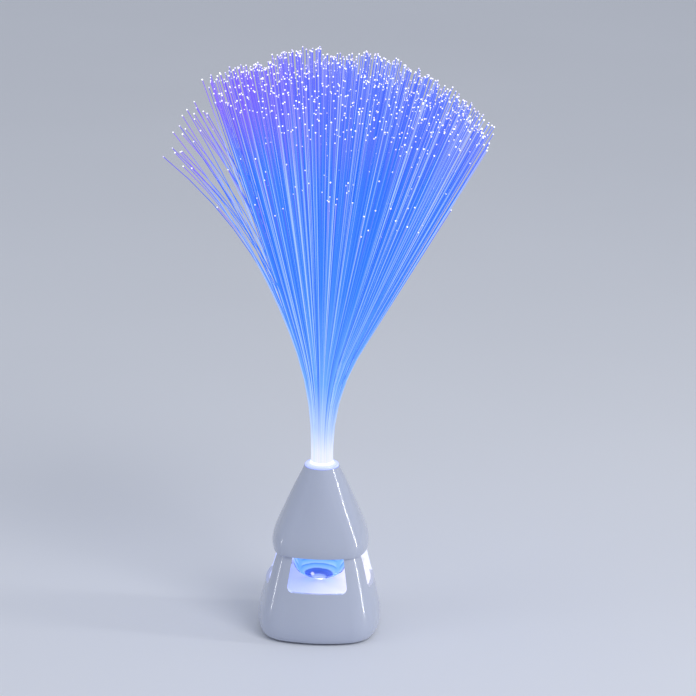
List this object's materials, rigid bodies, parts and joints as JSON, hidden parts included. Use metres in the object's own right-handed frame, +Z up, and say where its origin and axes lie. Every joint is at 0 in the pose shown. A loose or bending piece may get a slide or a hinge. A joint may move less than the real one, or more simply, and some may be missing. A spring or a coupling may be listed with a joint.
{
  "type": "fiber optic lamp",
  "caption": "Battery lamp with a rounded-square white housing, open side windows, a clear dome lens, a cone top and a lift-out spray of fine glowing fibres.",
  "frame": {"origin": "on the table under the middle of the lamp, at the centre of the housing's plan", "axes": "+Z up along the housing's axis, the front window faces -Y, the switch is on the +Y side and the battery door screw on the +X side"},
  "size_m": [0.1949, 0.1703, 0.3456],
  "materials": {
    "white_gloss": "glossy moulded white",
    "white_inner": "satin moulded white",
    "contact_metal": "nickel-plated spring steel",
    "screw_steel": "zinc-plated",
    "cell_can": "printed sleeve, plain",
    "board_green": "solder mask",
    "dark_plastic": "fine satin",
    "foot_rubber": "soft matte",
    "wire_jacket": "soft vinyl",
    "capacitor_can": "sleeved can",
    "emitter": "clear epoxy dome, lit",
    "clear_lens": "polished clear acrylic",
    "clear_collar": "frosted clear, lit from inside",
    "fibre": "clear acrylic fibre, lit from below"
  },
  "bodies": {
    "base": {"lower_housing": "white_gloss", "shroud_cone": "white_gloss", "base_plate": "white_inner", "chamber_floor": "white_inner", "lens_frame": "white_inner", "reflector_funnel": "white_inner", "fibre_socket": "white_inner", "contact_tab_1": "contact_metal", "contact_tab_2": "contact_metal", "contact_tab_3": "contact_metal", "contact_spring_1": "contact_metal", "contact_spring_2": "contact_metal", "contact_spring_3": "contact_metal", "base_screws": "screw_steel", "floor_screws": "screw_steel", "shroud_screws": "screw_steel", "board_screws": "screw_steel", "lamp_board_screws": "screw_steel", "socket_screws": "screw_steel", "switch_screws": "screw_steel", "battery_1": "cell_can", "battery_2": "cell_can", "battery_3": "cell_can", "circuit_board": "board_green", "lamp_board": "board_green", "controller_chip": "dark_plastic", "switch_body": "dark_plastic", "resistors": "dark_plastic", "foot_1": "foot_rubber", "foot_2": "foot_rubber", "foot_3": "foot_rubber", "foot_4": "foot_rubber", "battery_leads": "wire_jacket", "switch_leads": "wire_jacket", "lamp_leads": "wire_jacket", "buffer_capacitor": "capacitor_can", "lamp_emitter": "emitter", "dome_lens": "clear_lens"},
    "battery_door": {"battery_door": "white_inner", "door_screw": "screw_steel"},
    "switch_knob": {"switch_knob": "dark_plastic"},
    "fibre_plug": {"plug_ferrule": "clear_collar", "fibre_bundle": "fibre", "fibre_strands": "fibre"}
  },
  "joints": [
    {"name": "switch_slide", "type": "slide", "parent": "base", "child": "switch_knob", "axis": [1, 0, 0], "range_m": [-0.004, 0]},
    {"name": "battery_door_hinge", "type": "hinge", "parent": "base", "child": "battery_door", "pos_m": [-0.02345, 0, 0.0024], "axis": [0, 1, 0], "range_deg": [0, 75]},
    {"name": "fibre_plug_lift", "type": "slide", "parent": "base", "child": "fibre_plug", "axis": [0, 0, 1], "range_m": [0, 0.028]}
  ]
}
